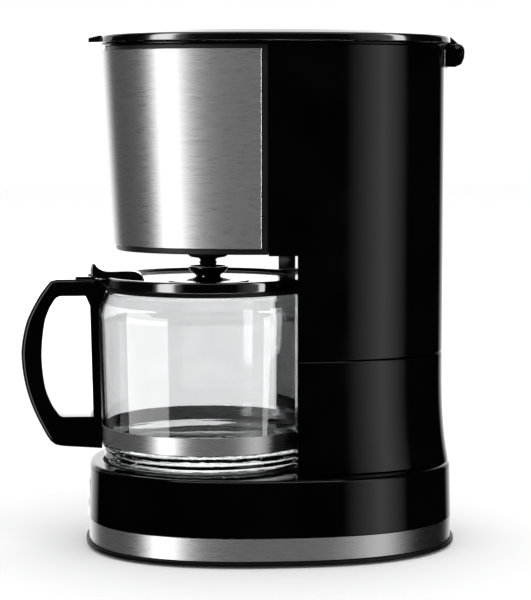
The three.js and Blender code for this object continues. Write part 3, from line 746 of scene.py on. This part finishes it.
def top_rim():
    """The bead under the lid, with the two hinge lugs and the pad between them."""
    low, top = TOP_Z + GAP, TOP_Z + 2.1
    half = COLUMN["half"]
    ring = revolve("top_rim_fine", [
        (half - 6, low), (half + 0.6, low, 0.4), (half + 1.4, (low + top) / 2, 0.6), (half + 0.6, top, 0.4),
        (half - 6, top)], column_plan, 192)
    root, rear, foot_z = 96, 104.6, 281.6
    lug = [(root, foot_z), (107.5, foot_z, 1), (111.4, 283.4, 2), (112.9, 287, 2),
           (HINGE_X + KNUCKLE, HINGE_Z, 1), (HINGE_X, HINGE_Z + 3), (rear, top), (root, top)]
    lugs = []
    for side in (-1, 1):
        reach = sorted((side * 10.3, side * LUG_END))
        web = slab("tool", [bend(lug)], reach, 0.3)
        lugs.append(join(web, bevelled(rod(KNUCKLE, reach, (HINGE_X, HINGE_Z)), 0.6)))
    pad = block((root, rear), (-LUG_END + 1, LUG_END - 1), (foot_z + 0.4, low + 0.1))
    mount = cut(join(pad, *lugs), slug(half + GAP, (200, low)))
    join(ring, mount)
    cut(ring, hinge_bore())
    install(smooth(ring), "top_rim")


def hinge_pin():
    made = bevelled(rod(1.7, (-LUG_END, LUG_END), (HINGE_X, HINGE_Z), name="lid_hinge_pin_fine"), 0.4)
    install(smooth(made), "lid_hinge_pin")


def main_lid():
    """The crowned lid with its front lip and its hinge knuckle."""
    crown, low = 304, 295.3
    edge, width = 103.5, 68
    plan = oval_plan(3, edge, width)
    made = revolve("main_lid_fine", [
        (0, crown), (edge * 0.6, crown - 0.9), (edge * 0.88, crown - 2.3, 8), (edge - 0.6, crown - 4.6, 2.2),
        (edge, low, 0.6), (edge - 2.4, low, 0.4), (edge - 3.4, crown - 6, 1), (edge * 0.6, crown - 3.5),
        (0, crown - 2.7)], plan, 192, 6)
    join(made, lid_lip(low), *lid_arm(low))
    cut(made, hinge_bore())
    install(smooth(made), "main_lid")


def lid_lip(low):
    """The pointed finger lip at the lid's front."""
    tip, root, middle, half = -107.4, -96, -100.2, 17
    levels = ((low + 0.2, low + 0.2, 1), (low + 2.6, low + 2, 1), (low + 4.2, low + 3, 0.94))
    rows = []
    for root_z, tip_z, share in levels:
        y = half * share
        rows.append([(root, -y, root_z), (middle, -y * 0.86, root_z), (tip + 1.2, -y * 0.5, tip_z),
                     (tip, 0, tip_z), (tip + 1.2, y * 0.5, tip_z), (middle, y * 0.86, root_z),
                     (root, y, root_z)])
    return bevelled(stacked("tool", rows), 0.5, 2, 20)


def lid_arm(low):
    """The arm at the lid's back and the knuckle that it ends in."""
    root, under_z, reach = 99, low + 0.4, (-9.7, 9.7)
    arm = [(root, under_z), (root, low + 4.4), (106, low + 4.2, 3), (HINGE_X + 3.6, HINGE_Z + 3, 2),
           (HINGE_X + 1, HINGE_Z), (105.4, HINGE_Z + 0.5), (105.2, under_z)]
    return slab("tool", [bend(arm)], reach, 0.3), rod(KNUCKLE, reach, (HINGE_X, HINGE_Z))


def filter_housing():
    """The brewer's inner bucket: its foot and its edges beside the steel are in sight."""
    half, panel = COLUMN["half"], COLUMN["panel"]
    skin = 1.5
    low = box_mm("filter_housing")[0].z
    floor, rear_low = 178.5, COLUMN["ceiling"] + 2.8
    outer = revolve("filter_housing_fine", [
        (0, low), (half - skin, low, 0.8), (half - skin, TOP_Z), (0, TOP_Z)], front_plan, 192)
    cut(outer, block((panel - GAP, 200), (-100, 100), (0, 400)))
    rear = keep(rod(66, (rear_low, TOP_Z), (AXIS_X, 0), "Z", 128), slug(half - 3.4, (0, 400)),
                block((panel - 2.5, 100), (-100, 100), (0, 401)))
    join(outer, rear)
    inner = slug(half - skin - WALL, (floor, 400), front_plan)
    cut(inner, block((panel - GAP - WALL, 200), (-100, 100), (0, 401)))
    rear_inner = keep(rod(63.5, (floor, 401), (AXIS_X, 0), "Z", 128), slug(half - 5.9, (0, 402)),
                      block((panel - 6.5, 100), (-100, 100), (0, 403)))
    cut(outer, join(inner, rear_inner))
    cut(outer, rod(16.5, (100, 200), (AXIS_X, 0), "Z"), block((0, 50), (-6.5, 6.5), (286.6, 300)))
    install(smooth(bevelled(outer, 0.4, 2)), "filter_housing")


def steel_shell():
    """The thin brushed sheet round the brewer's front."""
    half, panel = COLUMN["half"], COLUMN["panel"]
    made = slug(half, (SHELL_Z, TOP_Z - 2.1), front_plan, "steel_shell_fine", 256)
    cut(made, block((panel - 4, 200), (-100, 100), (0, 400)))
    cut(made, slug(half - 1, (100, 400), front_plan, sides=256))
    install(smooth(bevelled(made, 0.6, 1)), "steel_shell")


# ---- Brewer's inside ----


def filter_basket():
    """The cone that holds the filter, with a flat rim, ribs inside and the valve's seat in its foot."""
    made = revolve("filter_basket_fine", [
        (13, 176.2), (15.2, 176.2, 0.5), (15.2, 178.9), (22, 178.9, 1), (24, 184, 1), (52, 283.8),
        (56, 283.8, 0.5), (56, 286.3, 0.8), (50, 286.3, 0.8), (22, 186, 3), (12, 183.5), (3.6, 183.5),
        (3.6, 181.2), (13, 181.2)], sides=128)
    join(made, *[basket_rib(math.pi * k / 8) for k in range(16)])
    install(smooth(made), "filter_basket")


def basket_rib(angle):
    """One of the ribs that hold the paper filter off the wall."""
    along = Vector((math.cos(angle), math.sin(angle), 0))
    across = Vector((-math.sin(angle), math.cos(angle), 0))
    ends = []
    for inner, outer, z in ((23.4, 25.2, 192), (45.4, 47.2, 270)):
        ends.append([Vector((AXIS_X, 0, z)) + along * r + across * s
                     for r, s in ((inner, -0.5), (inner, 0.5), (outer, 0.8), (outer, -0.8))])
    return stacked("tool", ends)


def drip_valve():
    """The valve's waisted tip, its flange and the stem up through the basket."""
    made = revolve("drip_valve_fine", [
        (0, 165.3), (4.8, 165.3, 0.8), (5.2, 167.3, 0.5), (4.4, 168, 0.5), (5.6, 169.4, 1),
        (10.4, 170.2, 1.6), (12, 171.4, 0.6), (12, 172.4, 0.4), (2.9, 172.4), (2.9, 187, 0.6),
        (0, 187)], sides=72)
    install(smooth(made), "drip_valve")


def valve_seal():
    seal = revolve("valve_seal_fine", [
        (3.2, 183.8), (8, 183.8, 0.3), (8, 185.6, 0.6), (3.2, 185.6)], sides=64)
    install(smooth(seal), "valve_seal")


def valve_spring():
    """A coil between the valve's flange and the basket, made at one length; the real coil shortens as the
    valve lifts.
    """
    wire, radius, low, high = 0.55, 7.5, 173.25, 180.45
    turns, steps, sides = 3.5, 140, 10
    rings = []
    for k in range(steps + 1):
        angle = 2 * math.pi * turns * k / steps
        out = Vector((math.cos(angle), math.sin(angle), 0))
        middle = Vector((AXIS_X, 0, low + (high - low) * k / steps)) + out * radius
        rings.append([middle + out * wire * math.cos(turn) + Vector((0, 0, wire * math.sin(turn)))
                      for turn in (2 * math.pi * j / sides for j in range(sides))])
    made = stacked("valve_spring_fine", rings)
    install(smooth(made, 60), "valve_spring")
    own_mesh(made)


def spray_head():
    """The hollow arm from the riser to a round rose with six holes."""
    z, top = 287.2, 292
    made = block((AXIS_X, RISER_X), (-5, 5), (z, top), "spray_head_fine")
    rose = revolve("tool", [(0, 281), (17, 281, 1), (20, 284, 2), (20, top, 1), (0, top)], sides=96)
    join(made, rod(6.6, (286.3, top), (RISER_X, 0), "Z"), rose)
    roof = top - 1.4
    cut(made, block((AXIS_X, RISER_X), (-3, 3), (z + 1.4, roof)), rod(3, (280, roof), (RISER_X, 0), "Z"),
        rod(15, (z - 3, roof), (AXIS_X, 0), "Z"))
    holes = [math.pi * k / 3 for k in range(6)]
    cut(made, *[rod(1.4, (270, z), (AXIS_X + 10 * math.cos(a), 10 * math.sin(a)), "Z", 24) for a in holes])
    install(smooth(bevelled(made, 0.5)), "spray_head")


def riser_tube():
    made = revolve("riser_tube_fine", [
        (3.2, 105), (4.6, 105), (4.6, 286), (3.2, 286)], round_plan(RISER_X), 48)
    install(smooth(made), "riser_tube")


def column_pieces():
    lower_housing()
    tank_housing()
    level_window()
    water_tank()
    top_rim()
    hinge_pin()
    main_lid()
    filter_housing()
    steel_shell()
    filter_basket()
    drip_valve()
    valve_seal()
    valve_spring()
    spray_head()
    riser_tube()


# ---- Carafe ----

CARAFE = {"radius": 63.7, "shoulder": 65.5, "neck": 58, "z": 50.3, "lip": 156, "lid": 61.5}
GRIP_HALF = 13.5
HANDLE_SCREW_AT = (0, 66)


def carafe_glass():
    """Blown body with a heavy rolled foot and an even wall."""
    r, s, n, z = CARAFE["radius"], CARAFE["shoulder"], CARAFE["neck"], CARAFE["z"]
    wall = 2.2
    made = revolve("carafe_glass_fine", [
        (0, z + 1.4), (47, z + 1.2, 8), (53, z, 3), (60, z, 4), (r - 1.1, z + 2.6, 1.6),
        (r - 2.4, z + 5, 1.6), (r - 0.2, z + 9, 3), (r, 64, 2), (r, 72, 20), (s, 138, 14),
        (s - 1.2, 143.4, 8), (60.2, 149.6, 6), (n, 152.4, 3),
        (n, CARAFE["lip"], 1), (n - wall, CARAFE["lip"], 1), (n - wall, 151.6, 4), (59, 148, 7),
        (s - 1.4 - wall, 142, 8), (s - wall, 137, 14), (r - wall, 74, 20), (r - wall - 1.2, 64.5, 5),
        (r - wall - 8, 60, 5), (44, 58.4, 8), (0, 57.6)], sides=192, steps=6)
    install(smooth(made, 60), "carafe_glass")


def carafe_band():
    inner, outer, low, high = CARAFE["radius"] + 0.25, CARAFE["radius"] + 0.75, 61.4, 71.6
    made = revolve("carafe_band_fine", [
        (inner, low), (outer, low, 0.25), (outer, high, 0.25), (inner, high)], sides=192)
    install(smooth(made), "carafe_band")


def carafe_collar():
    neck, outer, top = CARAFE["neck"], CARAFE["lid"] - 0.4, 153.3
    made = revolve("carafe_collar_fine", [
        (neck + 1.6, 151.4), (outer, 150.6, 0.5), (outer, top, 0.5), (neck + 0.4, top)], sides=160)
    install(smooth(made), "carafe_collar")


def grip_loops():
    """The grip's outer edge and its finger opening, as (x, z) loops."""
    reach = -149.1
    outer = [(-96, 154.8), (-104, 155.8), (-128, 155.8), (-132, 154.8)]
    outer += through([(-134.6, 151.6), (-139.4, 144.6), (-145.4, 132.6), (reach + 0.6, 120), (reach, 108.5),
                      (-147, 93.6), (-142.2, 78.6), (-135, 64)])
    outer += [(-132.8, 60.6), (-129.6, 58.2), (-125, 57.3), (-98, 57.3), (-98, 140), (-96, 150)]
    inner = [(-106.5, 140.5), (-109.5, 146.4), (-126, 146.4), (-128.4, 145.4)]
    inner += through([(-129.6, 144.2), (-133, 138.4), (-135.8, 129.6), (-137.5, 111.6), (-135.8, 93.6),
                      (-131.8, 82.4), (-127.8, 76.6)])
    inner += [(-126.6, 75.4), (-124.6, 74.8), (-105, 74.8)]
    return [[lifted(point) for point in loop] for loop in (outer, inner)]


def lifted(point):
    """Raises the grip in front of its hinge and draws its front towards the glass, both by a shift."""
    x, z = point
    shift = 2.3
    return x + shift * min(max((-x - 104) / 26, 0), 1), z + shift * min(max((-x - 97) / 4, 0), 1)


def glass_clearance():
    """The room that the handle leaves for the glass, its band and the lid."""
    r, s, outer = CARAFE["radius"], CARAFE["shoulder"], CARAFE["lid"] + 0.4
    return revolve("tool", [
        (0, 40), (r + 0.8, 40), (r + 1.2, 74), (s + 0.6, 139), (s - 0.4, 143.6), (62.4, 148), (outer, 150),
        (outer, 170), (0, 170)], sides=160)


def shrunk(loop, distance):
    """A closed loop of (x, z) points moved inwards by a distance."""
    points = [Vector(point) for point in loop]
    area = sum(a.x * b.y - b.x * a.y for a, b in zip(points, points[1:] + points[:1]))
    moved = []
    for before, here, after in zip(points[-1:] + points[:-1], points, points[1:] + points[:1]):
        along = (here - before).normalized() + (after - here).normalized()
        across = Vector((-along.y, along.x)).normalized() * math.copysign(distance, area)
        moved.append(tuple(here + across))
    return moved


def finger_opening(loop):
    """The finger opening, drafted from both sides so that it is smallest at mid width."""
    levels = ((-GRIP_HALF - 1, -0.15), (0, 2), (GRIP_HALF + 1, -0.15))
    return stacked("tool", [[(x, y, z) for x, z in shrunk(loop, inset)] for y, inset in levels])


def lid_pin_bore():
    return rod(1.45, (-40, 40), (LID_PIN_X, LID_PIN_Z))


def carafe_handle():
    """The loop handle: grip and strap in one, with the lid's hinge knuckle and a thumb tab on top."""
    outer, inner = grip_loops()
    made = slab("carafe_handle_fine", [outer], (-GRIP_HALF, GRIP_HALF), 2.6, 4)
    bevelled(cut(made, finger_opening(inner)), 0.9)
    join(made, bevelled(rod(4.2, (-GRIP_HALF, GRIP_HALF), (LID_PIN_X, LID_PIN_Z)), 0.6),
         bevelled(block((-115, -103.5), (-11, 11), (156, 159.6)), 0.7))
    tongue_slot = block((-107.5, -90), (-8.6, 8.6), (148.6, 170))
    screw_hole = rod(2.1, (-130, -90), HANDLE_SCREW_AT, "X")
    screw_seat = rod(4, (-140, -108.5), HANDLE_SCREW_AT, "X")
    cut(made, glass_clearance(), tongue_slot, lid_pin_bore(), screw_hole, screw_seat)
    install(smooth(made), "carafe_handle")


def handle_screw():
    """The screw through the grip's foot, with a cross recess."""
    y, z = HANDLE_SCREW_AT
    made = bevelled(rod(3.6, (-111.5, -108.9), (y, z), "X", name="handle_screw_fine"), 0.6)
    recess = [block((-113, -110.4), (y - a, y + a), (z - b, z + b)) for a, b in ((2.2, 0.4), (0.4, 2.2))]
    cut(made, *recess)
    join(made, rod(1.7, (-109.5, -101.4), (y, z), "X", 24))
    install(smooth(made), "handle_screw")


def lever_loop():
    """The thumb lever, seen from the side."""
    back = through([(-106, 158.8), (-106, 163.4), (-105.4, 166.2), (-104.4, 167)], 4)
    top = through([(-103.4, 166.6), (-101.6, 164.4), (-98.4, 162.7), (-94, 162.3), (-82, 162.3), (-77.6, 161),
                   (-75.2, 158.6), (-74.6, 156.6)], 4)
    return [*back, *top, (-76, 155.9), (-91, 156.2), (-91.5, 157.4), (-97, 157.8)]


def carafe_lid():
    """The black lid: a dished disc with a funnel cup, a hood, a lever and the tongue of its hinge."""
    rim, low, floor, seat, top = CARAFE["lid"], 153.6, 153.2, CARAFE["lip"] + 0.6, 159.4
    groove_in, groove_out, half = 55.2, 59.3, 8
    made = revolve("carafe_lid_fine", [
        (rim, low, 0.5), (rim, top, 1.6), (rim - 3.6, top, 1.2), (rim - 5.8, 157.3, 1), (25, 155.6, 0.5),
        (24, 156.6, 0.6), (16, 156.6, 3), (6.4, 158.8, 1.2), (10.2, 161, 3), (12.1, 164, 1.4),
        (11.8, 164.7, 0.2), (10.9, 164.7, 0.2), (9.4, 161.8, 3), (5.2, 159.8, 1), (3, 158.6), (3, floor),
        (groove_in, floor, 0.5), (groove_in, seat), (groove_out, seat),
        (groove_out, low)], sides=160, steps=5)
    lever = slab("tool", [lever_loop()], (-half, half), 1.2)
    hood_loop = bend([(2, 156.8), (26, 156.8), (26, 161.2), (21, 161.6, 1.5), (4, 158.4, 3)])
    hood = slab("tool", [hood_loop], (-14, 14), 0.8)
    keep(hood, rod(rim - 0.3, (150, 170), (AXIS_X, 0), "Z", 160))
    tongue = block((LID_PIN_X, -95.5), (-half, half), (153.8, 157.8))
    join(made, lever, hood, tongue, rod(3.6, (-half, half), (LID_PIN_X, LID_PIN_Z)))
    cut(made, lid_pin_bore())
    install(smooth(made), "carafe_lid")


def carafe_lid_pin():
    made = rod(1.2, (-GRIP_HALF, GRIP_HALF), (LID_PIN_X, LID_PIN_Z), name="carafe_lid_pin_fine")
    install(smooth(bevelled(made, 0.3)), "carafe_lid_pin")


def carafe_pieces():
    carafe_glass()
    carafe_band()
    carafe_collar()
    carafe_handle()
    handle_screw()
    carafe_lid()
    carafe_lid_pin()


base_pieces()
column_pieces()
carafe_pieces()

for name, part in frame["nodes"].items():
    paint(part, SLOT_OF[name])

# ---- Studio ----

STEEL = ["steel_shell_fine", "base_band_fine", "carafe_band_fine"]
LIDS = ["main_lid_fine", "carafe_lid_fine"]
BLACK = LIDS + ["top_rim_fine", "filter_housing_fine", "carafe_handle_fine"]
HOUSINGS = ["tank_housing_fine", "lower_housing_fine", "base_housing_fine"]
GLASS = ["carafe_glass_fine"]
LIGHT_AIM_Z = 0.35


def floor():
    """A plain pale floor that the glossy pieces don't mirror."""
    mesh = bmesh.new()
    bmesh.ops.create_grid(mesh, x_segments=1, y_segments=1, size=6000)
    made = new_object("floor", mesh)
    pale, _, shader = material("floor", Roughness=0.9, Specular_IOR_Level=0.0)
    shader.inputs["Base Color"].default_value = (0.97, 0.97, 0.97, 1)
    made.data.materials.append(pale)
    made.visible_glossy = False


def softbox(name, azimuth, size, radiance, height=0.35, distance=1.5, only=None):
    """A soft light, in metres, on all pieces or only some; azimuth is degrees from -Y towards +X."""
    data = bpy.data.lights.new(name, "AREA")
    data.shape, data.size, data.size_y = "RECTANGLE", size[0], size[1]
    data.energy = radiance * math.pi * size[0] * size[1]
    made = bpy.data.objects.new(name, data)
    angle = math.radians(azimuth)
    made.location = (distance * math.sin(angle), -distance * math.cos(angle), height)
    aim = Vector((0, 0, min(height, LIGHT_AIM_Z))) - made.location
    made.rotation_euler = aim.to_track_quat("-Z", "Y").to_euler()
    made.visible_camera = False
    bpy.context.scene.collection.objects.link(made)
    if only:
        lit = bpy.data.collections.new(name)
        for piece in only:
            lit.objects.link(bpy.data.objects[piece])
        made.light_linking.receiver_collection = lit
    return data


def fade(light, edge):
    """Dims the light towards its left and right edges, over this share of its half width."""
    light.use_nodes = True
    tree = light.node_tree
    place = tree.nodes.new("ShaderNodeNewGeometry")
    split = tree.nodes.new("ShaderNodeSeparateXYZ")
    tree.links.new(place.outputs["Parametric"], split.inputs["Vector"])
    fold = tree.nodes.new("ShaderNodeMath")
    fold.operation = "PINGPONG"
    fold.inputs[1].default_value = 0.5
    tree.links.new(split.outputs["X"], fold.inputs[0])
    strength = tree.nodes["Emission"].inputs["Strength"]
    tree.links.new(ranged(tree, fold.outputs[0], 0, 1, 0, edge / 2), strength)


def lights():
    """Tall boxes at both sides, strips and cards for single materials, and light for the floor."""
    fade(softbox("left_box", -48, (0.95, 2.6), 4.2, only=STEEL + BLACK), 1)
    fade(softbox("right_box", 47, (1.15, 2.6), 1.1), 1)
    softbox("top_box", -10, (1.6, 0.3), 3, 1.5, 0.7, BLACK + HOUSINGS)
    softbox("shell_edge", 90, (0.8, 2.6), 15, only=["steel_shell_fine"])
    fade(softbox("lid_left", -50, (0.6, 2.6), 15, only=LIDS), 0.4)
    fade(softbox("lid_right", 57, (0.3, 2.6), 15, only=LIDS), 0.4)
    softbox("top_panel", 180, (2.6, 2.2), 1.1, 2, 0.3, LIDS + ["top_rim_fine"])
    softbox("back_panel", 180, (7, 4), 1.3, 0.8, 2, BLACK)
    softbox("steel_fill", 0, (6, 3), 0.21, distance=2, only=STEEL)
    softbox("steel_side", -105, (2.4, 3), 0.12, distance=2, only=STEEL)
    softbox("glass_left", -70, (1.12, 0.7), 5.5, 0.1, 1.2, GLASS)
    softbox("glass_right", 63, (0.37, 0.7), 5.5, 0.1, 1.2, GLASS)
    softbox("floor_light", 0, (5, 5), 0.3, 2.5, 0.01, ["floor"])


def world():
    """White to the eye; what the glossy surfaces mirror is dark in front and white behind."""
    made = bpy.data.worlds.new("studio")
    made.use_nodes = True
    tree = made.node_tree
    tree.nodes.clear()
    output = tree.nodes.new("ShaderNodeOutputWorld")
    paths = tree.nodes.new("ShaderNodeLightPath")
    coords = tree.nodes.new("ShaderNodeTexCoord")
    split = tree.nodes.new("ShaderNodeSeparateXYZ")
    tree.links.new(coords.outputs["Generated"], split.inputs["Vector"])
    mirrored = ranged(tree, split.outputs["Y"], 0.002, 1.7, 0.68, 0.95)
    strength = tree.nodes.new("ShaderNodeMix")
    tree.links.new(paths.outputs["Is Glossy Ray"], strength.inputs[0])
    strength.inputs[2].default_value = 1.0
    tree.links.new(mirrored, strength.inputs[3])
    background = tree.nodes.new("ShaderNodeBackground")
    background.inputs["Color"].default_value = (1, 1, 1, 1)
    tree.links.new(strength.outputs[0], background.inputs["Strength"])
    tree.links.new(background.outputs["Background"], output.inputs["Surface"])
    bpy.context.scene.world = made


floor()
lights()
world()
bpy.context.scene.view_settings.view_transform = "Standard"
